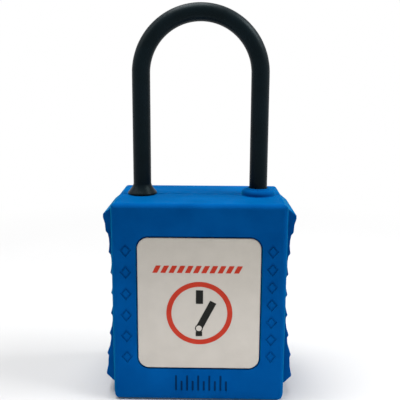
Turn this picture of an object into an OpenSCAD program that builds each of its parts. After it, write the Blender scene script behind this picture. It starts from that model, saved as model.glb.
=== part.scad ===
// Lockout padlock: a moulded nylon body with finger grips on both sides, a nylon
// shackle, and a six-pin lock whose cam drives a flat latch into the toe leg.
// Millimetres. The origin lies under the middle of the base: +X right, +Y back, +Z up.
// It stands closed and unlocked, with the latch drawn back and the plug a quarter turn
// round from its locked place.

/* [Body] */
// Width of the front plate
body_w = 37.4; // [36:0.1:42]
// Depth from the front face to the back face
body_d = 22; // [20:0.5:30]
// Height from the base to the top face
body_h = 44.3; // [43:0.1:60]
// Radius of all outer edges of the plate
edge_r = 1.2; // [0.4:0.1:1.4]
// How far the tips of the grips stand out from the plate's sides
grip_out = 2.05; // [1.4:0.05:4]
// How far the grips stand out at their waist
grip_waist = 0.65; // [0.6:0.05:1.3]
// Depth of each grip from its front end to its back end
grip_d = 16; // [10:0.5:19]
// How deep the hollows between two ridges are
ridge_depth = 0.45; // [0.2:0.05:0.6]
// Width of the labels
label_w = 26.3; // [16:0.1:29]
// Height of the labels
label_h = 29.4; // [16:0.1:33]
// Height of the labels' lower edge over the base
label_z = 7.7; // [5:0.1:9]
// Corner radius of the labels
label_r = 2.4; // [1:0.1:4]
// Depth of the pockets that the labels lie in
label_pocket = 0.45; // [0.4:0.05:0.8]

/* [Shackle] */
// Diameter of the bar
shackle_d = 4; // [3.6:0.1:4.4]
// Distance between the middles of the two legs
leg_span = 26.2; // [25.6:0.1:28]
// Clear height between the top face and the inside of the bow
clear_h = 38; // [20:1:80]
// How far the shackle lifts to open
lift = 12; // [11.6:0.1:13]
// Height of the flare around the heel leg
flare_h = 2.4; // [1:0.1:4]
// Diameter of the flare where it sits on the body
flare_d = 6.6; // [5.5:0.1:8]

/* [Lock] */
// Diameter of the plug
plug_d = 8.4; // [8:0.1:8.8]
// Diameter of the pins
pin_d = 2.4; // [2:0.1:2.6]
// Distance from one pin to the next
pin_pitch = 3.4; // [3.1:0.05:3.6]
// Width of the keyway
keyway_w = 1.7; // [1.2:0.1:2]
// Travel of the latch over a quarter turn of the plug
throw = 1.55; // [1.2:0.05:1.7]
// Play of a moving piece in its bore
play = 0.1; // [0.05:0.01:0.14]

/* [Hidden] */
$fn = 40;
e = 0.01;
PINS = 6;
// legs and their bores
leg_r = shackle_d / 2;
leg_x = leg_span / 2;
leg_bore_r = leg_r + play;
bow_z = body_h + clear_h - (leg_span - shackle_d) / 2;
toe_down = 9.8;
toe_z = body_h - toe_down;
// lock case and plug, placed from the heel leg's bore
plug_r = plug_d / 2;
pin_r = pin_d / 2;
chamber_r = pin_r + 0.08;
web = 1.95;
case_x0 = -leg_x + leg_bore_r + web + 0.1;
cover_t = 0.7;
driver_l = 3;
spring_l = 4.1;
cover_x = case_x0 + 0.05 + cover_t;
cover_y = 1.65;
cover_end = 1.8;
driver_x = cover_x + 0.03 + spring_l;
plug_x = driver_x + driver_l + play + plug_r;
case_r = plug_r + play + 2;
case_y = chamber_r + 1.9;
case_gap = 0.15;
pin_z0 = 5.4;
case_h = pin_z0 + (PINS - 1) * pin_pitch + 2.6;
flange_t = 1.6;
flange_y = 7.3;
flange_x0 = case_x0 - 1.4;
flange_x1 = leg_x + 2.9;
head_r = plug_r + 0.6;
plug_z = 0.5;
head_t = 1.2;
ear_y = 2.1;
ear_x = leg_x + 2;
ear_z = case_h - 5;
// pins: outer ends at the plug's skin, tips by their length
pin_end = plug_r - 0.25;
pin_floor = -1.4;
keyway_r = keyway_w / 2;
ward = keyway_w / 4;
function pin_z(k) = pin_z0 + k * pin_pitch;
function key_pin_l(k) = 2.5 + 0.38 * ((3 * k + 1) % 5);
// plug tail, clip and cam
tail_r = 2.6;
groove_z = case_h + 0.12;
groove_h = 0.78;
groove_r = 2.1;
clip_t = 0.6;
clip_w = 2.2;
clip_r = groove_r + clip_w;
clip_mouth = 3;
clip_z = groove_z + 0.08;
tongue_z = case_h + 2;
tongue = [4.4, 1.6, 1.3];
// latch and its cam
latch_down = 7.1;
latch_z = body_h - latch_down;
latch_t = 2.6;
latch_y = 3;
tongue_y = 1.5;
latch_heel = 2.2;
latch_toe = 3;
crank_r = throw / sqrt(2);
crank_pin_r = 0.8;
slot_x = plug_x - throw / 2;
latch_x0 = slot_x - latch_heel;
latch_x1 = slot_x + latch_toe;
latch_gap = 0.3;
latch_tip = leg_x - leg_r - latch_gap;
disc_t = 1.8;
disc_r = 2.6;
// screw that holds the case, under the toe leg
screw_r = 1;
screw_head_r = 1.8;
screw_head_t = 1.8;
toe_bore_z = toe_z - 0.5 - screw_head_t;
screw_l = toe_bore_z - ear_z - 0.6;
// pin that keeps the heel leg in the body
heel_pin_down = 14;
heel_pin_z = body_h - heel_pin_down;
heel_pin_r = 0.8;
flat_in = 1.25;
flat_x = -leg_x + flat_in;
heel_pin_x = flat_x + play;
flat_z = heel_pin_z - heel_pin_r - play - lift;
heel_foot = 2;
heel_z = flat_z - heel_foot;
room_down = 12.5;
room_z = body_h - room_down;
// grips
GRIP_RIDGES = 8;
grip_top = body_h - 3.3;
grip_tip = 0.8;
grip_foot = 4.8;
ridge_top = grip_top - 3.4;
ridge_pitch = (ridge_top - grip_foot) / (GRIP_RIDGES - 1);
waist_up = 1.6;
waist_z = (grip_top + grip_foot) / 2 + waist_up;
boss_w = 1.75;
boss_r = leg_r + boss_w;
boss_h = 1.6;
boss_wall = 0.35;
boss_edge = 0.9;

// Rectangle with true round corners, around the origin
module round_rect(w, h, r) {
    square([w - 2 * r, h], center = true);
    square([w, h - 2 * r], center = true);
    for (x = [-1, 1], y = [-1, 1]) translate([x * (w / 2 - r), y * (h / 2 - r)]) circle(r);
}

// Box from one X to another and one Z to another, with Y symmetric about the middle
module slab(x0, x1, half_y, z0, z1) {
    translate([x0, -half_y, z0]) cube([x1 - x0, 2 * half_y, z1 - z0]);
}

// Stands a drawing of X and Z up, and gives it a depth along Y about the middle
module upright(depth) {
    translate([0, depth / 2, 0]) rotate([90, 0, 0]) linear_extrude(depth) children();
}

// Side of a grip: a hollow curve from tip to foot, with ridges that fall in below their crests.
// RIDGE goes from one crest down to the next, as shares of the pitch and of the depth.
RIDGE = [[0, 0], [0.13, 0.85], [0.35, 1], [0.62, 0.85], [0.87, 0.35]];
function crest_x(z) = body_w / 2 + min(grip_out, grip_waist
    + (grip_out - grip_waist) * pow((z - waist_z) / (grip_top - waist_z), 2));
function grip_outline() = concat(
    [[body_w / 2 - 2, body_h - edge_r], [body_w / 2, body_h - edge_r]],
    [[crest_x(grip_top), grip_top + grip_tip / 2], [crest_x(grip_top), grip_top - grip_tip / 2]],
    [let (z = (grip_top + ridge_top) / 2) [crest_x(z) - ridge_depth / 4, z]],
    [for (i = [0 : GRIP_RIDGES - 2], r = RIDGE)
        let (z = ridge_top - (i + r[0]) * ridge_pitch) [crest_x(z) - r[1] * ridge_depth, z]],
    [[crest_x(grip_foot), grip_foot], [crest_x(grip_foot), grip_foot - grip_tip / 2]],
    [[body_w / 2, grip_foot - grip_tip / 2 - grip_out],
        [body_w / 2 - 2, grip_foot - grip_tip / 2 - grip_out]]);

module grip() {
    upright(grip_d) polygon(grip_outline());
}

// Boss around the toe leg, with a round shoulder and a top that rises towards the leg
module boss() {
    STEPS = 8;
    rotate_extrude() polygon(concat([[0, -edge_r], [boss_r, -edge_r]],
        [for (i = [0 : STEPS]) let (a = 90 * i / STEPS)
            [boss_r - boss_edge * (1 - cos(a)), boss_wall + boss_edge * sin(a)]],
        [[leg_bore_r + 0.3, boss_h], [0, boss_h]]));
}

module label_shape(grow) {
    translate([0, label_z + label_h / 2])
        round_rect(label_w + 2 * grow, label_h + 2 * grow, label_r + grow);
}

// Plan of the case: the round around the plug, the tower of the pins and the rib of the ear
module case_plan(grow) {
    translate([plug_x, 0]) circle(case_r + grow);
    translate([case_x0 - grow, -case_y - grow]) square([plug_x - case_x0 + grow, 2 * (case_y + grow)]);
    translate([plug_x, -ear_y - grow]) square([ear_x + grow - plug_x, 2 * (ear_y + grow)]);
}

module flange_plan(grow) {
    translate([(flange_x0 + flange_x1) / 2, 0])
        round_rect(flange_x1 - flange_x0 + 2 * grow, 2 * (flange_y + grow), 2.5);
}

module body() {
    color("#0b6bb5") difference() {
        union() {
            intersection() {
                linear_extrude(body_h) round_rect(body_w, body_d, edge_r);
                upright(body_d) translate([0, body_h / 2]) round_rect(body_w, body_h, edge_r);
                translate([-body_w / 2, 0, body_h / 2]) rotate([90, 0, 90]) linear_extrude(body_w)
                    round_rect(body_d, body_h, edge_r);
            }
            grip();
            mirror([1, 0, 0]) grip();
            translate([leg_x, 0, body_h]) boss();
        }
        // pockets of the front and the rear label
        for (y = [-body_d / 2 - 1, body_d / 2 - label_pocket])
            translate([0, y + 1 + label_pocket, 0]) rotate([90, 0, 0])
                linear_extrude(1 + label_pocket) label_shape(0.15);
        // bores of the heel leg and the toe leg
        translate([-leg_x, 0, heel_z - 0.6]) cylinder(h = body_h, r = leg_bore_r);
        translate([leg_x, 0, toe_bore_z]) cylinder(h = body_h, r = leg_bore_r);
        translate([leg_x, 0, case_h - 1]) cylinder(h = toe_bore_z, r = screw_r + 0.15);
        // room for the case, its flange and what stands above it
        translate([0, 0, -1]) linear_extrude(1 + flange_t) flange_plan(0.12);
        translate([0, 0, -1]) linear_extrude(case_h + 1 + 0.1) case_plan(case_gap);
        slab(case_x0 - case_gap, plug_x + disc_r + 1, case_y + case_gap, case_h - 1, room_z);
        translate([plug_x, 0, case_h - 1])
            cylinder(h = clip_z + clip_t + 0.4 - case_h + 1, r = clip_r + 0.3);
        // room for the latch, open from below
        slab(latch_x0 - 0.3, latch_x1 + throw + 0.25, latch_y + 0.12, case_h - 1, latch_z + latch_t + 0.1);
        slab(latch_x1, leg_x - leg_bore_r - 0.85, tongue_y + 0.12, room_z - 1, latch_z + latch_t + 0.1);
        slab(latch_x1, leg_x, tongue_y + 0.12, latch_z - 0.15, latch_z + latch_t + 0.1);
        // hole of the heel pin
        translate([case_x0 - case_gap - web - 0.5, 0, heel_pin_z]) rotate([0, 90, 0])
            cylinder(h = web + 1, r = heel_pin_r + 0.02);
    }
}

// Labels: plain plates in their pockets
module label_plate() {
    rotate([90, 0, 0]) linear_extrude(label_pocket - 0.1) label_shape(0);
}

module front_label() {
    color("#e8e6dd") translate([0, -body_d / 2 + label_pocket, 0]) label_plate();
}

module rear_label() {
    color("#e8e6dd") translate([0, body_d / 2 - 0.1, 0]) label_plate();
}

// Shackle: one bar, with a long heel leg, a short toe leg and a flare on the body's top
module flare() {
    rise = flare_d / 2 - leg_r;
    rim = 0.35;
    STEPS = 6;
    rotate_extrude() polygon(concat([[0, 0], [flare_d / 2 - 0.1, 0]],
        [for (i = [0 : STEPS]) let (t = i / STEPS)
            [leg_r + rise * pow(1 - t, 1.5), rim + (flare_h - rim) * t]],
        [[0, flare_h]]));
}

module shackle() {
    color("#1b2229") difference() {
        union() {
            translate([0, 0, bow_z]) rotate([90, 0, 0]) rotate_extrude(angle = 180, $fn = 72)
                translate([leg_x, 0]) circle(leg_r);
            translate([-leg_x, 0, heel_z + 0.5]) cylinder(h = bow_z - heel_z - 0.5, r = leg_r);
            translate([-leg_x, 0, heel_z]) cylinder(h = 0.5, r1 = leg_r - 0.4, r2 = leg_r);
            translate([leg_x, 0, toe_z + 0.6]) cylinder(h = bow_z - toe_z - 0.6, r = leg_r);
            translate([leg_x, 0, toe_z]) cylinder(h = 0.6, r1 = leg_r - 0.5, r2 = leg_r);
            translate([-leg_x, 0, body_h + 0.03]) flare();
        }
        // long flat that lets the heel leg rise, and the groove that lets it turn when up
        slab(flat_x, -leg_x + leg_r + 1, leg_r + 1, flat_z, heel_pin_z + heel_pin_r + 0.5);
        translate([-leg_x, 0, flat_z]) difference() {
            cylinder(h = 2 * heel_pin_r + 0.2, r = leg_r + 1);
            translate([0, 0, -1]) cylinder(h = 2 * heel_pin_r + 2.2, r = flat_x + leg_x);
        }
        // notch for the latch
        slab(leg_x - leg_r - 1, latch_tip + throw + 0.15, leg_r + 1,
            latch_z - 0.2, latch_z + latch_t + 0.2);
    }
}

module heel_pin() {
    color("#a9adb2") translate([heel_pin_x, 0, heel_pin_z]) rotate([0, 90, 0])
        cylinder(h = case_x0 - case_gap - heel_pin_x, r = heel_pin_r);
}

// Lock case: a die-casting with the plug's bore, six chambers and a flange that closes the body
module lock_case() {
    color("#b4b7ba") difference() {
        union() {
            linear_extrude(flange_t) flange_plan(0);
            linear_extrude(ear_z) {
                translate([plug_x, 0]) circle(case_r);
                translate([case_x0, -case_y]) square([plug_x - case_x0, 2 * case_y]);
            }
            translate([0, 0, ear_z - e]) linear_extrude(case_h - ear_z + e) case_plan(0);
        }
        translate([plug_x, 0, -1]) cylinder(h = case_h + 2, r = plug_r + play);
        translate([plug_x, 0, -1]) cylinder(h = plug_z + head_t + 1.05, r = head_r + play);
        for (k = [0 : PINS - 1]) translate([case_x0 - 1, 0, pin_z(k)]) rotate([0, 90, 0])
            cylinder(h = plug_x - case_x0, r = chamber_r);
        slab(case_x0 - 1, cover_x, cover_y + 0.1,
            pin_z(0) - cover_end - 0.1, pin_z(PINS - 1) + cover_end + 0.1);
        translate([leg_x, 0, ear_z - 1]) cylinder(h = case_h, r = screw_r + 0.03);
    }
}

module case_screw() {
    color("#8d9298") difference() {
        union() {
            translate([leg_x, 0, toe_bore_z]) cylinder(h = screw_head_t, r = screw_head_r);
            translate([leg_x, 0, toe_bore_z - screw_l]) cylinder(h = screw_l + e, r = screw_r);
        }
        slab(leg_x - screw_head_r - 1, leg_x + screw_head_r + 1, 0.25,
            toe_bore_z + screw_head_t - 0.8, toe_z);
    }
}

// Strip that closes the six chambers
module spring_cover() {
    color("#c9a24b") slab(cover_x - cover_t, cover_x, cover_y,
        pin_z(0) - cover_end, pin_z(PINS - 1) + cover_end);
}

// Plug, drawn about its own axis with the chambers to the front, as it stands unlocked
module plug() {
    color("#c9a24b") translate([plug_x, 0, 0]) difference() {
        union() {
            translate([0, 0, plug_z]) cylinder(h = head_t, r = head_r);
            translate([0, 0, plug_z]) cylinder(h = case_h - plug_z, r = plug_r);
            translate([0, 0, case_h - e]) cylinder(h = tongue_z - case_h + e, r = tail_r);
            translate([-tongue[1] / 2, -tongue[0] / 2, tongue_z - e])
                cube([tongue[1], tongue[0], tongue[2] + e]);
        }
        // keyway with a ward on each side
        translate([0, 0, -1]) linear_extrude(case_h - 0.5) polygon([
            [-keyway_r, -1.7], [keyway_r, -1.7], [keyway_r, 0.1], [keyway_r - ward, 0.4],
            [keyway_r - ward, 1.2], [keyway_r, 1.5], [keyway_r, plug_r - 0.5], [-keyway_r, plug_r - 0.5],
            [-keyway_r, 2.9], [ward - keyway_r, 2.6], [ward - keyway_r, 1.8], [-keyway_r, 1.5]]);
        for (k = [0 : PINS - 1]) translate([0, -pin_floor, pin_z(k)]) rotate([90, 0, 0])
            cylinder(h = plug_r + 2, r = chamber_r);
        translate([0, 0, groove_z]) difference() {
            cylinder(h = groove_h, r = tail_r + 1);
            translate([0, 0, -1]) cylinder(h = groove_h + 2, r = groove_r);
        }
    }
}

// Clip that keeps the plug in the case
module plug_clip() {
    color("#8d9298") translate([plug_x, 0, clip_z]) difference() {
        cylinder(h = clip_t, r = clip_r);
        translate([0, 0, -1]) cylinder(h = clip_t + 2, r = groove_r + 0.06);
        translate([-clip_mouth / 2, 0, -1]) cube([clip_mouth, clip_r + 1, clip_t + 2]);
    }
}

// Cam: a stem on the plug's tongue, and a disc with the crank pin that moves the latch
module cam() {
    color("#b4b7ba") translate([plug_x, 0, 0]) difference() {
        union() {
            translate([0, 0, tongue_z + 0.05]) cylinder(h = latch_z - tongue_z - 1, r = disc_r - 0.2);
            translate([0, 0, latch_z - 0.06 - disc_t]) cylinder(h = disc_t, r = disc_r);
            translate([-throw / 2, throw / 2, latch_z - 1]) cylinder(h = latch_t + 0.85, r = crank_pin_r);
        }
        slab(-tongue[1] / 2 - 0.08, tongue[1] / 2 + 0.08, disc_r + 0.4,
            tongue_z - 1, tongue_z + tongue[2] + 0.15);
    }
}

module latch() {
    color("#c4c8cc") difference() {
        union() {
            slab(latch_x0, latch_x1, latch_y, latch_z, latch_z + latch_t);
            slab(latch_x1 - e, latch_tip, tongue_y, latch_z, latch_z + latch_t);
        }
        slab(slot_x - crank_pin_r - 0.12, slot_x + crank_pin_r + 0.12, crank_r + crank_pin_r + 0.15,
            latch_z - 1, latch_z + latch_t + 1);
    }
}

// Key pin: round outer end at the plug's skin, pointed tip towards the keyway
module key_pin(k) {
    l = key_pin_l(k);
    color("#d2ab55") translate([plug_x, -pin_end, pin_z(k)]) rotate([-90, 0, 0]) {
        cylinder(h = 0.2, r1 = pin_r - 0.15, r2 = pin_r);
        translate([0, 0, 0.2]) cylinder(h = l - 1, r = pin_r);
        translate([0, 0, l - 0.8]) cylinder(h = 0.8, r1 = pin_r, r2 = 0.4);
    }
}

module driver_pin(k) {
    color("#d2ab55") translate([driver_x, 0, pin_z(k)]) rotate([0, 90, 0]) {
        cylinder(h = 0.2, r1 = pin_r - 0.15, r2 = pin_r);
        translate([0, 0, 0.2]) cylinder(h = driver_l - 0.4, r = pin_r);
        translate([0, 0, driver_l - 0.2]) cylinder(h = 0.2, r1 = pin_r, r2 = pin_r - 0.15);
    }
}

// Coil of round wire that rises along Z from its first turn to its last
module coil(r, wire_r, length, turns) {
    STEPS = 10;
    SIDES = 4;
    n = turns * STEPS;
    rise = length - 2 * wire_r;
    points = [for (i = [0 : n], j = [0 : SIDES - 1])
        let (a = 360 * i / STEPS, b = 360 * j / SIDES, q = r + wire_r * cos(b))
        [q * cos(a), q * sin(a), wire_r + rise * i / n + wire_r * sin(b)]];
    sides = [for (i = [0 : n - 1], j = [0 : SIDES - 1])
        let (j2 = (j + 1) % SIDES)
        [i * SIDES + j, (i + 1) * SIDES + j, (i + 1) * SIDES + j2, i * SIDES + j2]];
    first = [for (j = [0 : SIDES - 1]) j];
    last = [for (j = [SIDES - 1 : -1 : 0]) n * SIDES + j];
    polyhedron(points, concat(sides, [first], [last]), convexity = turns);
}

module pin_spring(k) {
    color("#c4c8cc") translate([cover_x + 0.02, 0, pin_z(k)]) rotate([0, 90, 0])
        coil(pin_r - 0.25, 0.17, spring_l, 5);
}

body();
front_label();
rear_label();
shackle();
heel_pin();
lock_case();
case_screw();
spring_cover();
plug();
plug_clip();
cam();
latch();
key_pin(0);  // key_pin_1
key_pin(1);  // key_pin_2
key_pin(2);  // key_pin_3
key_pin(3);  // key_pin_4
key_pin(4);  // key_pin_5
key_pin(5);  // key_pin_6
driver_pin(0);  // driver_pin_1
driver_pin(1);  // driver_pin_2
driver_pin(2);  // driver_pin_3
driver_pin(3);  // driver_pin_4
driver_pin(4);  // driver_pin_5
driver_pin(5);  // driver_pin_6
pin_spring(0);  // pin_spring_1
pin_spring(1);  // pin_spring_2
pin_spring(2);  // pin_spring_3
pin_spring(3);  // pin_spring_4
pin_spring(4);  // pin_spring_5
pin_spring(5);  // pin_spring_6
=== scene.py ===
"""Looks of the lockout padlock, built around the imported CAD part.

Sizes are in millimetres in the part's own frame (+X right, +Y back, +Z up, origin under
the middle of the base) and turn into metres where a mesh is made.
"""

import math

import bmesh
import bpy
from mathutils import Matrix, Vector

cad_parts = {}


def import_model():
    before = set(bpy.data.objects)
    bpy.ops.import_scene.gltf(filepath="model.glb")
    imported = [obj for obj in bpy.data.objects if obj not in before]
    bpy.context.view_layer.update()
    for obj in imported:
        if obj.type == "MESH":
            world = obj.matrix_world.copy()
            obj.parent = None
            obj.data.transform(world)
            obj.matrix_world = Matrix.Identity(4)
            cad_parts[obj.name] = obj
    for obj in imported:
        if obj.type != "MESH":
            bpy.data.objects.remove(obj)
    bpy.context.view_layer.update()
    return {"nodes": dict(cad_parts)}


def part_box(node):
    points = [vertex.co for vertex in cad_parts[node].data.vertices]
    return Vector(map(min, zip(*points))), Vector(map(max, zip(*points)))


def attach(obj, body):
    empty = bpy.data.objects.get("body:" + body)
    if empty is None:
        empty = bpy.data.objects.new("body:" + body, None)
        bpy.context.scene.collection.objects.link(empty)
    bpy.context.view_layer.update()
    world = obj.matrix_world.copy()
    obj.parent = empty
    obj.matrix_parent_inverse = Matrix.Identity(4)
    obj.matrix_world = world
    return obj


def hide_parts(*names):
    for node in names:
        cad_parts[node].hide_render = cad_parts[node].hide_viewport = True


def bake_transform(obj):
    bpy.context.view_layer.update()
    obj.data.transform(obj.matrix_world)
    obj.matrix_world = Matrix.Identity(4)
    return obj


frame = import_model()
NODES = frame["nodes"]
MM = 0.001


def corners(node):
    """Lowest and highest corner of a CAD node, in millimetres."""
    low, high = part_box(node)
    return low / MM, high / MM


# Sizes
BODY_LOW, BODY_HIGH = corners("body")
LABEL_LOW, LABEL_HIGH = corners("front_label")
REAR_HIGH = corners("rear_label")[1]
SHACKLE_LOW, SHACKLE_HIGH = corners("shackle")
FRONT = BODY_LOW.y
BACK = BODY_HIGH.y
PLATE_W = 37.4
BODY_H = 44.3
BAR_R = 2.0
FLARE_R = 3.3
LEG_X = (SHACKLE_HIGH.x - SHACKLE_LOW.x - FLARE_R - BAR_R) / 2
BOW_Z = SHACKLE_HIGH.z - BAR_R - LEG_X
CLEAR = 0.5  # how far a cutter stands out of the face that it cuts
PRINT_T, PRINT_SINK = 0.03, 0.02  # how far print, and the painted shade in the stamped bars, stand on their face and reach into it


# Materials
def srgb(r, g, b):
    """An sRGB colour of 0 to 255 as linear values."""
    return tuple(
        (v / 255 / 12.92) if v / 255 <= 0.04045 else ((v / 255 + 0.055) / 1.055) ** 2.4
        for v in (r, g, b)
    ) + (1.0,)


class Shader:
    """A node material with a Principled shader, and short ways to add what feeds it."""

    def __init__(self, name):
        self.mat = bpy.data.materials.new(name)
        self.mat.use_nodes = True
        self.tree = self.mat.node_tree
        self.bsdf = self.tree.nodes["Principled BSDF"]
        self.coords = self.add("ShaderNodeTexCoord").outputs["Object"]

    def add(self, kind, **inputs):
        node = self.tree.nodes.new(kind)
        for key, value in inputs.items():
            node.inputs[key.replace("_", " ")].default_value = value
        return node

    def link(self, a, b):
        self.tree.links.new(a, b)

    def noise(self, scale, detail=3.0, stretch=(1, 1, 1)):
        """Noise with about scale features per millimetre."""
        mapping = self.add("ShaderNodeMapping")
        mapping.inputs["Scale"].default_value = [s / MM for s in stretch]
        self.link(self.coords, mapping.inputs["Vector"])
        node = self.add("ShaderNodeTexNoise", Scale=scale, Detail=detail)
        self.link(mapping.outputs[0], node.inputs["Vector"])
        return node.outputs["Fac"]

    def ramp(self, fac, stops):
        """A colour ramp through (position, colour) stops."""
        node = self.add("ShaderNodeValToRGB")
        self.link(fac, node.inputs["Fac"])
        elements = node.color_ramp.elements
        for i, (position, colour) in enumerate(stops):
            if i >= len(elements):
                elements.new(position)
            elements[i].position = position
            elements[i].color = colour
        return node.outputs["Color"]

    def spread(self, fac, low, high):
        """Maps the middle of a noise to a range of values."""
        node = self.add("ShaderNodeMapRange")
        self.link(fac, node.inputs["Value"])
        node.inputs["From Min"].default_value = 0.3
        node.inputs["From Max"].default_value = 0.7
        node.inputs["To Min"].default_value = low
        node.inputs["To Max"].default_value = high
        return node.outputs["Result"]

    def bump(self, heights, distance):
        """Bumps from (height, strength) pairs, one on the other."""
        normal = None
        for height, strength in heights:
            node = self.add("ShaderNodeBump", Strength=strength, Distance=distance * MM)
            self.link(height, node.inputs["Height"])
            if normal is not None:
                self.link(normal, node.inputs["Normal"])
            normal = node.outputs["Normal"]
        self.link(normal, self.bsdf.inputs["Normal"])

    def set(self, **values):
        for key, value in values.items():
            self.bsdf.inputs[key.replace("_", " ")].default_value = value


def plastic(name, dark, mid, light, rough, grain, grain_strength, specular, tint,
            sheen=0.0, sheen_tint=(1, 1, 1, 1)):
    """Moulded nylon: cloudy colour, spark-eroded grain and faint flow marks."""
    s = Shader(name)
    colour = s.ramp(s.noise(0.16, 4), [(0.3, dark), (0.5, mid), (0.72, light)])
    s.link(colour, s.bsdf.inputs["Base Color"])
    s.link(s.spread(s.noise(0.5, 5), rough - 0.05, rough + 0.07), s.bsdf.inputs["Roughness"])
    s.bump([(s.noise(0.35, 2), 0.12), (s.noise(grain, 2), grain_strength)], 0.05)
    s.set(Specular_IOR_Level=specular, Specular_Tint=tint,
          Sheen_Weight=sheen, Sheen_Roughness=0.4, Sheen_Tint=sheen_tint)
    return s.mat


def metal(name, dark, light, rough, grain=(1, 1, 1), strength=0.12):
    """Metal with a stained colour and a grain that can be stretched into brush marks."""
    s = Shader(name)
    colour = s.ramp(s.noise(0.45, 4), [(0.3, dark), (0.7, light)])
    s.link(colour, s.bsdf.inputs["Base Color"])
    s.link(s.spread(s.noise(1.3, 4), rough - 0.08, rough + 0.1), s.bsdf.inputs["Roughness"])
    s.bump([(s.noise(5, 3, grain), strength)], 0.03)
    s.set(Metallic=1.0)
    return s.mat


def paper(name, dark, light, rough=0.42, specular=0.4):
    """Printed film: an even colour with a faint mottle and orange peel."""
    s = Shader(name)
    colour = s.ramp(s.noise(0.3, 3), [(0.3, dark), (0.7, light)])
    s.link(colour, s.bsdf.inputs["Base Color"])
    s.link(s.spread(s.noise(0.9, 3), rough - 0.04, rough + 0.06), s.bsdf.inputs["Roughness"])
    s.bump([(s.noise(2.2, 2), 0.05)], 0.03)
    s.set(Specular_IOR_Level=specular)
    return s.mat


BLUE = plastic("blue_nylon", srgb(1, 73, 140), srgb(2, 78, 147), srgb(3, 83, 154),
               rough=0.5, grain=3.2, grain_strength=0.12, specular=0.002, tint=(0.05, 0.6, 1.0, 1),
               sheen=0.22, sheen_tint=(0.0, 1.0, 0.9, 1))
BLACK = plastic("black_nylon", srgb(6, 14, 18), srgb(8, 18, 23), srgb(11, 22, 28),
                rough=0.38, grain=4.0, grain_strength=0.1, specular=0.08, tint=(0.7, 0.95, 1.0, 1))
# Painted shade for the floors of the stamped bars: the blue nylon, made darker.
STAMP_SHADE = plastic("stamp_painted_shade", srgb(5, 46, 86), srgb(7, 52, 96), srgb(9, 56, 102),
                    rough=0.5, grain=3.2, grain_strength=0.12, specular=0.04,
                    tint=(0.05, 0.6, 1.0, 1))
WHITE = paper("label_film", srgb(195, 189, 178), srgb(201, 195, 184))
RED = paper("red_print", srgb(187, 52, 34), srgb(195, 60, 40), rough=0.5, specular=0.08)
INK = paper("black_print", srgb(24, 25, 23), srgb(31, 31, 27), rough=0.5, specular=0.08)
GREY_INK = paper("grey_print", srgb(150, 152, 152), srgb(162, 164, 163), rough=0.5, specular=0.2)
ZINC = metal("cast_zinc", srgb(150, 152, 154), srgb(176, 178, 179), rough=0.46, strength=0.3)
BRASS = metal("turned_brass", srgb(181, 141, 74), srgb(208, 170, 98), rough=0.3, grain=(1, 1, 9))
STEEL = metal("plated_steel", srgb(160, 163, 167), srgb(190, 193, 196), rough=0.28, grain=(1, 1, 6))
WIRE = metal("spring_wire", srgb(170, 173, 177), srgb(198, 200, 203), rough=0.24)


# Mesh helpers
def new_object(name, bm, material, smooth=True):
    """A mesh object from a bmesh in millimetres."""
    bmesh.ops.scale(bm, vec=(MM, MM, MM), verts=bm.verts)
    bmesh.ops.recalc_face_normals(bm, faces=bm.faces)
    mesh = bpy.data.meshes.new(name)
    bm.to_mesh(mesh)
    bm.free()
    mesh.polygons.foreach_set("use_smooth", [smooth] * len(mesh.polygons))
    obj = bpy.data.objects.new(name, mesh)
    bpy.context.scene.collection.objects.link(obj)
    if material:
        mesh.materials.append(material)
    return obj


def prism(bm, outline, y0, y1, holes=()):
    """A flat shape of (x, z) points, with holes, drawn out between two depths y0 and y1."""
    edges = []
    for points in (outline, *holes):
        ring = [bm.verts.new((x, y0, z)) for x, z in points]
        edges += [bm.edges.new((a, b)) for a, b in zip(ring, ring[1:] + ring[:1])]
    faces = [
        g for g in bmesh.ops.triangle_fill(bm, edges=edges, use_beauty=True)["geom"]
        if isinstance(g, bmesh.types.BMFace)
    ]
    back = bmesh.ops.extrude_face_region(bm, geom=faces)["geom"]
    bmesh.ops.translate(
        bm, vec=(0, y1 - y0, 0), verts=[g for g in back if isinstance(g, bmesh.types.BMVert)]
    )


def arc(cx, cz, r, start=0.0, end=360.0, steps=48):
    """Points of an arc, without its last point where it is a full circle."""
    n = steps if abs(end - start) >= 360 else steps + 1
    return [
        (cx + r * math.cos(math.radians(start + (end - start) * i / steps)),
         cz + r * math.sin(math.radians(start + (end - start) * i / steps)))
        for i in range(n)
    ]


def round_box(cx, cz, w, h, r, steps=6):
    """Outline of a rectangle with round corners."""
    points = []
    for sx, sz, a in ((1, 1, 0), (-1, 1, 90), (-1, -1, 180), (1, -1, 270)):
        points += arc(cx + sx * (w / 2 - r), cz + sz * (h / 2 - r), r, a, a + 90, steps)
    return points


def bar_between(a, b, width):
    """Outline of a bar from one point to another, with a round first end and a straight last one."""
    angle = math.degrees(math.atan2(b[1] - a[1], b[0] - a[0]))
    r = width / 2
    last_end = arc(*b, r, angle - 90, angle + 90, steps=1)
    return last_end + arc(*a, r, angle + 90, angle + 270, steps=12)


def skin(bm, rings):
    """Closed skin over rings of vertices, with a cap at each end."""
    sides = len(rings[0])
    for a, b in zip(rings, rings[1:]):
        for j in range(sides):
            bm.faces.new((a[j], a[(j + 1) % sides], b[(j + 1) % sides], b[j]))
    bm.faces.new(rings[0])
    bm.faces.new(reversed(rings[-1]))


def corner_angles(sides):
    """Angles of the corners of a round section."""
    return [math.tau * j / sides for j in range(sides)]


def sweep(bm, path, radii, sides):
    """A round bar along path, with a radius at each of its points."""
    rings = []
    for i, p in enumerate(path):
        ahead = (path[min(i + 1, len(path) - 1)] - path[max(i - 1, 0)]).normalized()
        across = Vector((0, 1, 0))
        up = ahead.cross(across).normalized()
        across = up.cross(ahead).normalized()
        rings.append([
            bm.verts.new(p + radii[i] * (math.cos(t) * across + math.sin(t) * up))
            for t in corner_angles(sides)
        ])
    skin(bm, rings)


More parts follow.
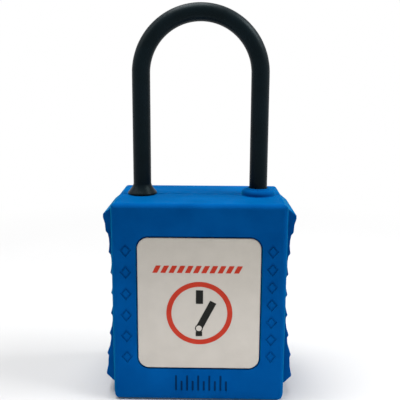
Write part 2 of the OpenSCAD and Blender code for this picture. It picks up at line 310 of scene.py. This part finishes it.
def cut(obj, cutter):
    """Cuts one object out of another."""
    cutter.hide_render = cutter.hide_viewport = True
    modifier = obj.modifiers.new("cut", "BOOLEAN")
    modifier.operation = "DIFFERENCE"
    modifier.solver = "EXACT"
    modifier.object = cutter


def break_edges(obj, width, angle=30.0, segments=2, clamp=True):
    """Rounds the sharp edges, as moulding and tumbling do."""
    flat = obj.modifiers.new("flat", "DECIMATE")
    flat.decimate_type = "DISSOLVE"
    flat.angle_limit = math.radians(0.8)
    bevel = obj.modifiers.new("edges", "BEVEL")
    bevel.width = width * MM
    bevel.segments = segments
    bevel.limit_method = "ANGLE"
    bevel.angle_limit = math.radians(angle)
    bevel.harden_normals = True
    bevel.use_clamp_overlap = clamp


def even_shading(obj):
    """Lets the large faces rule the shading after cuts, so that they stay flat."""
    obj.modifiers.new("normals", "WEIGHTED_NORMAL").keep_sharp = True


def dress(node, material, edge=0.0, angle=30.0, segments=2, clamp=True):
    """Gives a CAD node its material and its broken edges. Its mesh stays as packed."""
    obj = NODES[node]
    obj.data.materials.clear()
    obj.data.materials.append(material)
    obj.data.polygons.foreach_set("use_smooth", [True] * len(obj.data.polygons))
    weld = obj.modifiers.new("weld", "WELD")
    weld.merge_threshold = 0.0005 * MM
    if edge:
        break_edges(obj, edge, angle, segments, clamp)
    return obj


# Body
MARK_X, MARK_TOP = 15.6, 34.3
LEFT_MARKS = [MARK_TOP - 4.8 * i for i in range(6)]
RIGHT_MARKS = [MARK_TOP - 3.93 * i for i in range(7)]
MARK_W, MARK_H, MARK_LINE, MARK_DEPTH = 2.5, 3.1, 0.42, 0.2
MARK_HOLE_W = MARK_W - 2.4 * MARK_LINE
MARK_HOLE_H = MARK_H - 3.2 * MARK_LINE
STAMPS = 10
STAMP_X, STAMP_Z, STAMP_PITCH = 0.55, 2.3, 1.22
STAMP_W, STAMP_HEIGHTS, STAMP_CORNER, STAMP_DEPTH = 0.45, (3.7, 2.4), 0.2, 0.22
# how much smaller the painted shade is than each stamped bar
STAMP_SHADE_GAP = 0.04
SEAM_W, SEAM_DEPTH, SEAM_CORNER = 0.16, 0.07, 0.01
LABEL_R = 2.4
MOAT_W, MOAT_LAP, MOAT_DEPTH = 0.3, 0.05, 0.75  # the groove round a label
FOOT_R = 2.1
BASE_SEAM = PLATE_W - 2 * FOOT_R - 0.2
TOP_SEAM = PLATE_W + 2 * CLEAR


def lozenge(cx, cz, w, h):
    """Outline of a diamond of width w and height h."""
    return [(cx + w / 2, cz), (cx, cz + h / 2), (cx - w / 2, cz), (cx, cz - h / 2)]


def stamps(grow=0.0):
    """Outlines of the row of long and short bars that is stamped below the label."""
    for i in range(STAMPS):
        x = STAMP_X + (i - (STAMPS - 1) / 2) * STAMP_PITCH
        height = STAMP_HEIGHTS[i % 2]
        yield round_box(x, STAMP_Z + height / 2, STAMP_W + grow, height + grow, STAMP_CORNER)


def label_outline(grow):
    """Outline of a label, grown on every side."""
    size = LABEL_HIGH - LABEL_LOW
    middle = (LABEL_HIGH.z + LABEL_LOW.z) / 2
    return round_box(0, middle, size.x + 2 * grow, size.z + 2 * grow, LABEL_R + grow, steps=10)


def engraving():
    """What is cut into the body: outline marks beside the label, stamped bars below it, the narrow
    groove round each label, and the parting line of the mould across the top face and the base."""
    bm = bmesh.new()
    for y0, y1 in ((FRONT - CLEAR, FRONT + MOAT_DEPTH), (BACK + CLEAR, BACK - MOAT_DEPTH)):
        prism(bm, label_outline(MOAT_W), y0, y1, [label_outline(-MOAT_LAP)])
    for x, heights in ((-MARK_X, LEFT_MARKS), (MARK_X, RIGHT_MARKS)):
        for z in heights:
            hole = lozenge(x, z, MARK_HOLE_W, MARK_HOLE_H)
            prism(bm, lozenge(x, z, MARK_W, MARK_H), FRONT - CLEAR, FRONT + MARK_DEPTH, [hole])
    for outline in stamps():
        prism(bm, outline, FRONT - CLEAR, FRONT + STAMP_DEPTH)
    for z, length in ((0, BASE_SEAM), (BODY_H, TOP_SEAM)):
        outline = round_box(0, z, length, 2 * SEAM_DEPTH, SEAM_CORNER)
        prism(bm, outline, -SEAM_W / 2, SEAM_W / 2)
    return new_object("engraving", bm, None)


def foot_corners():
    """What the rounder corners at the foot of the plate take away."""
    bm = bmesh.new()
    x, z = PLATE_W / 2 - FOOT_R, FOOT_R
    outside = x + FOOT_R + CLEAR
    for side in (-1, 1):
        curve = [(side * px, pz) for px, pz in arc(x, z, FOOT_R, 0, -90, steps=16)]
        around = [(side * x, -CLEAR), (side * outside, -CLEAR), (side * outside, z)]
        prism(bm, curve + around, FRONT - CLEAR, BACK + CLEAR)
    return new_object("foot_corners", bm, None)


def painted_stamp_shade():
    """Painted shade: a darker copy of the blue nylon, laid on the floors of the stamped bars."""
    bm = bmesh.new()
    floor = FRONT + STAMP_DEPTH
    for outline in stamps(-STAMP_SHADE_GAP):
        prism(bm, outline, floor - PRINT_T, floor + PRINT_SINK)
    return new_object("stamp_painted_shade", bm, STAMP_SHADE, smooth=False)


body = dress("body", BLUE, edge=0.16, angle=32, segments=3, clamp=False)
cut(body, foot_corners())
cut(body, engraving())
break_edges(body, 0.03, angle=32)
even_shading(body)
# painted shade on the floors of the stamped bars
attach(painted_stamp_shade(), "housing")

# Labels and print
OVERPRINT = 0.004  # how much higher print on other print stands
PRINT_CORNER = 0.1
RING_X, RING_Z, RING_R, RING_LINE = 0.12, 20.35, 7.1, 1.1
STRIPE_Z, STRIPE_W, STRIPE_H = 30.2, 19.9, 1.6
STRIPE_BLOCKS, STRIPE_LEAN = 11, 0.8
STRIPE_STEP = (STRIPE_W - STRIPE_LEAN) / STRIPE_BLOCKS
STRIPE_BLOCK_W = 0.62 * STRIPE_STEP
CONTACT_HIGH = (0.14, 24.05, 1.55, 3.05)  # centre x and z, width, height
CONTACT_LOW = (0.05, 15.7, 1.4, 1.1)
PIVOT, PIVOT_R, EYE_R = (0.04, 16.95), 0.85, 0.62
LEVER_TIP, LEVER_W = (3.1, 22.93), 1.5
REAR_LINES = (31.5, 26.2, 20.9, 15.6, 10.3)
REAR_LINE_L, REAR_LINE_W = 20.5, 0.22


def printed(name, shapes, material, lift=0.0, face=LABEL_LOW.y, out=-1):
    """Print on a label's face: outlines, each with its holes.

    out is -1 where the face looks to the front and 1 where it looks to the back.
    """
    bm = bmesh.new()
    for outline, *holes in shapes:
        prism(bm, outline, face - out * PRINT_SINK, face + out * (PRINT_T + lift), holes)
    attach(new_object(name, bm, material, smooth=False), "housing")


def slanted(x, z, w, h, lean):
    """Outline of a slanted block with its lower left corner at x and its middle at z."""
    return [(x, z - h / 2), (x + w, z - h / 2), (x + w + lean, z + h / 2), (x + lean, z + h / 2)]


dress("front_label", WHITE, 0.33, segments=4)
dress("rear_label", WHITE, 0.33, segments=4)
printed("print_ring", [
    (arc(RING_X, RING_Z, RING_R, steps=96), arc(RING_X, RING_Z, RING_R - RING_LINE, steps=96))
], RED)
printed("print_stripe", [
    (slanted(-STRIPE_W / 2 + i * STRIPE_STEP, STRIPE_Z, STRIPE_BLOCK_W, STRIPE_H, STRIPE_LEAN),)
    for i in range(STRIPE_BLOCKS)
], RED)
printed("print_contact", [
    (round_box(*block, PRINT_CORNER),) for block in (CONTACT_HIGH, CONTACT_LOW)
], INK)
printed("print_lever", [(bar_between(PIVOT, LEVER_TIP, LEVER_W),)], INK)
printed("print_pivot", [(arc(*PIVOT, PIVOT_R, steps=32),)], INK, OVERPRINT)
printed("print_pivot_eye", [(arc(*PIVOT, EYE_R, steps=32),)], WHITE, 3 * OVERPRINT)
printed("print_lines", [
    (round_box(0, z, REAR_LINE_L, REAR_LINE_W, PRINT_CORNER),) for z in REAR_LINES
], GREY_INK, face=REAR_HIGH.y, out=1)

# Shackle
TOE_Z = BODY_H - 9.8
FLARE_Z, FLARE_H, FLARE_RIM = BODY_H + 0.03, 2.4, 0.35
FLARE_STEPS, BOW_STEPS, BAR_SIDES = 12, 72, 40
FLAT_X, NOTCH_X = 1.25, 0.6  # how far from its leg's axis each cut's floor lies
FLAT_Z = (SHACKLE_LOW.z + 2, BODY_H - 12.7)
NOTCH_Z = (BODY_H - 7.3, BODY_H - 4.3)
CUT_W = 3  # reaches past the bar


def shackle_profile():
    """Path and radii of the bar from the heel's end over the bow to the toe's end."""
    foot = SHACKLE_LOW.z
    heel = [(foot, BAR_R - 0.4), (foot + 0.12, BAR_R - 0.22), (foot + 0.5, BAR_R)]
    heel += [(FLARE_Z, BAR_R), (FLARE_Z + 0.001, FLARE_R - 0.2)]
    heel += [(FLARE_Z + 0.1, FLARE_R - 0.05), (FLARE_Z + 0.25, FLARE_R)]
    for i in range(1, FLARE_STEPS + 1):
        t = i / FLARE_STEPS
        z = FLARE_Z + FLARE_RIM + (FLARE_H - FLARE_RIM) * t
        heel.append((z, BAR_R + (FLARE_R - BAR_R) * (1 - t) ** 1.5))
    toe = [(0.6, BAR_R), (0.15, BAR_R - 0.28), (0, BAR_R - 0.5)]
    path = [(Vector((-LEG_X, 0, z)), r) for z, r in heel]
    path += [(Vector((-LEG_X, 0, BOW_Z - s)), BAR_R) for s in (16, 8, 0.5)]
    for i in range(1, BOW_STEPS):
        a = math.pi * (1 - i / BOW_STEPS)
        path.append((Vector((LEG_X * math.cos(a), 0, BOW_Z + LEG_X * math.sin(a))), BAR_R))
    path += [(Vector((LEG_X, 0, BOW_Z - s)), BAR_R) for s in (0.5, 12, 24)]
    path += [(Vector((LEG_X, 0, TOE_Z + s)), r) for s, r in toe]
    return path


def shackle_piece():
    """The bar, swept along its path."""
    bm = bmesh.new()
    path = shackle_profile()
    sweep(bm, [p for p, _ in path], [r for _, r in path], BAR_SIDES)
    return new_object("shackle_bar", bm, BLACK)


def leg_cutter():
    """The heel leg's flat and the toe leg's notch, as the CAD shackle has them."""
    bm = bmesh.new()
    flat = FLAT_X - LEG_X
    for x0, x1, (low, high) in ((flat, flat + CUT_W, FLAT_Z),
                                (LEG_X - CUT_W, LEG_X - NOTCH_X, NOTCH_Z)):
        prism(bm, [(x0, low), (x1, low), (x1, high), (x0, high)], -CUT_W, CUT_W)
    return new_object("leg_cutter", bm, None)


bar = shackle_piece()
cut(bar, leg_cutter())
even_shading(bar)
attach(bar, "shackle")
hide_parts("shackle")

# Lock
dress("lock_case", ZINC, 0.1, clamp=False)
dress("plug", BRASS, 0.06, clamp=False)
dress("spring_cover", BRASS, 0.05)
dress("cam", ZINC, 0.08)
dress("latch", STEEL, 0.1)
for node in ("plug_clip", "case_screw", "heel_pin"):
    dress(node, STEEL, 0.05)
for k in range(1, 7):
    dress(f"key_pin_{k}", BRASS)
    dress(f"driver_pin_{k}", BRASS)


def coil(name, low, high, turns=5, wire=0.17, steps=28, sides=8):
    """A spring along X through the middle of its CAD node's box."""
    middle_z = (low.z + high.z) / 2
    radius = (high.z - low.z) / 2 - wire
    bm = bmesh.new()
    rings = []
    for i in range(turns * steps + 1):
        a = math.tau * i / steps
        x = low.x + wire + (high.x - low.x - 2 * wire) * i / (turns * steps)
        spoke = Vector((0, math.cos(a), math.sin(a)))
        centre = Vector((x, 0, middle_z)) + radius * spoke
        rings.append([
            bm.verts.new(centre + wire * (math.cos(t) * spoke + math.sin(t) * Vector((1, 0, 0))))
            for t in corner_angles(sides)
        ])
    skin(bm, rings)
    return new_object(name, bm, WIRE)


for k in range(1, 7):
    low, high = corners(f"pin_spring_{k}")
    spring = coil(f"spring_coil_{k}", low, high)
    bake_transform(spring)
    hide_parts(f"pin_spring_{k}")


# Stage, light and camera
FLOOR_SIZE = 4.0
FADE_FROM, FADE_TO = 0.05, 0.20
AMBIENT, AMBIENT_COLOUR = 0.048, (0.93, 0.96, 1.0, 1)
CAMERA_PLACE = (0.00203, -0.12317, 0.07010)
CAMERA_TURN, CAMERA_DOWN, CAMERA_ROLL = 0.97, 9.57, 0.26
CAMERA_LENS, CAMERA_SHIFT = 49.84, -0.07


def background_rays(tree):
    """1 for the rays that see the white background: those of the camera, of gloss and of glass."""
    rays = tree.nodes.new("ShaderNodeLightPath")
    total = rays.outputs["Is Camera Ray"]
    for kind in ("Is Glossy Ray", "Is Transmission Ray"):
        both = tree.nodes.new("ShaderNodeMath")
        both.operation = "MAXIMUM"
        tree.links.new(total, both.inputs[0])
        tree.links.new(rays.outputs[kind], both.inputs[1])
        total = both.outputs[0]
    return total


def stage():
    """A pale floor that keeps the shadow and runs into the white backdrop."""
    floor = bpy.data.meshes.new("floor")
    signs = ((-1, -1), (1, -1), (1, 1), (-1, 1))
    floor.from_pydata([(x * FLOOR_SIZE, y * FLOOR_SIZE, 0) for x, y in signs], [], [(0, 1, 2, 3)])
    obj = bpy.data.objects.new("floor", floor)
    bpy.context.scene.collection.objects.link(obj)
    s = Shader("pale_floor")
    s.link(s.ramp(s.noise(0.01, 2), [(0.3, srgb(206, 206, 206)), (0.7, srgb(212, 212, 212))]),
           s.bsdf.inputs["Base Color"])
    s.set(Roughness=0.9, Specular_IOR_Level=0.2)
    length = s.add("ShaderNodeVectorMath")
    length.operation = "LENGTH"
    s.link(s.coords, length.inputs[0])
    fade = s.add("ShaderNodeMapRange")
    fade.interpolation_type = "SMOOTHSTEP"
    fade.inputs["From Min"].default_value = FADE_FROM
    fade.inputs["From Max"].default_value = FADE_TO
    s.link(length.outputs["Value"], fade.inputs["Value"])
    seen = s.add("ShaderNodeMath")
    seen.operation = "MULTIPLY"
    s.link(fade.outputs["Result"], seen.inputs[0])
    s.link(background_rays(s.tree), seen.inputs[1])
    white = s.add("ShaderNodeEmission", Strength=1.0)
    mix = s.add("ShaderNodeMixShader")
    s.link(seen.outputs[0], mix.inputs["Fac"])
    s.link(s.bsdf.outputs[0], mix.inputs[1])
    s.link(white.outputs[0], mix.inputs[2])
    s.link(mix.outputs[0], s.tree.nodes["Material Output"].inputs["Surface"])
    floor.materials.append(s.mat)


def lamp(name, place, target, size, watts, colour=(1, 1, 1)):
    """A flat lamp at place that faces target. Sizes are in metres."""
    data = bpy.data.lights.new(name, "AREA")
    data.shape = "RECTANGLE"
    data.size, data.size_y = size
    data.energy = watts
    data.color = colour
    obj = bpy.data.objects.new(name, data)
    bpy.context.scene.collection.objects.link(obj)
    obj.location = place
    obj.rotation_euler = (Vector(target) - Vector(place)).to_track_quat("-Z", "Y").to_euler()
    obj.visible_camera = False


def world():
    """A faint even light on the object, and white behind it."""
    w = bpy.data.worlds.new("studio")
    bpy.context.scene.world = w
    w.use_nodes = True
    tree = w.node_tree
    ambient = tree.nodes["Background"]
    ambient.inputs["Color"].default_value = AMBIENT_COLOUR
    ambient.inputs["Strength"].default_value = AMBIENT
    white = tree.nodes.new("ShaderNodeBackground")
    white.inputs["Color"].default_value = (1, 1, 1, 1)
    white.inputs["Strength"].default_value = 1.0
    mix = tree.nodes.new("ShaderNodeMixShader")
    tree.links.new(background_rays(tree), mix.inputs["Fac"])
    tree.links.new(ambient.outputs[0], mix.inputs[1])
    tree.links.new(white.outputs[0], mix.inputs[2])
    tree.links.new(mix.outputs[0], tree.nodes["World Output"].inputs["Surface"])


def camera():
    """The photograph's camera, 123 mm in front of the lock and 70 mm up, looking slightly down."""
    data = bpy.data.cameras.new("camera")
    obj = bpy.data.objects.new("camera", data)
    bpy.context.scene.collection.objects.link(obj)
    turn = Matrix.Rotation(math.radians(CAMERA_TURN), 4, "Z")
    tilt = Matrix.Rotation(math.radians(90 - CAMERA_DOWN), 4, "X")
    roll = Matrix.Rotation(math.radians(CAMERA_ROLL), 4, "Z")
    obj.matrix_world = Matrix.Translation(CAMERA_PLACE) @ turn @ tilt @ roll
    data.sensor_width = 36
    data.lens = CAMERA_LENS
    data.shift_y = CAMERA_SHIFT
    data.clip_start, data.clip_end = 0.005, 20
    bpy.context.scene.camera = obj


stage()
world()
lamp("top_light", (-0.07, 0.04, 0.49), (0, 0, 0.04), (0.33, 0.30), 2.75)
lamp("right_light", (0.27, -0.03, 0.31), (0, 0, 0.03), (0.18, 0.18), 1.3)
lamp("left_light", (-0.28, -0.05, 0.28), (0, 0, 0.03), (0.15, 0.15), 0.28)
lamp("low_light", (0, -0.045, 0.007), (0, 0, 0.01), (0.07, 0.01), 0.0056, (0.98, 0.98, 1.06))
camera()
bpy.context.scene.view_settings.view_transform = "Standard"
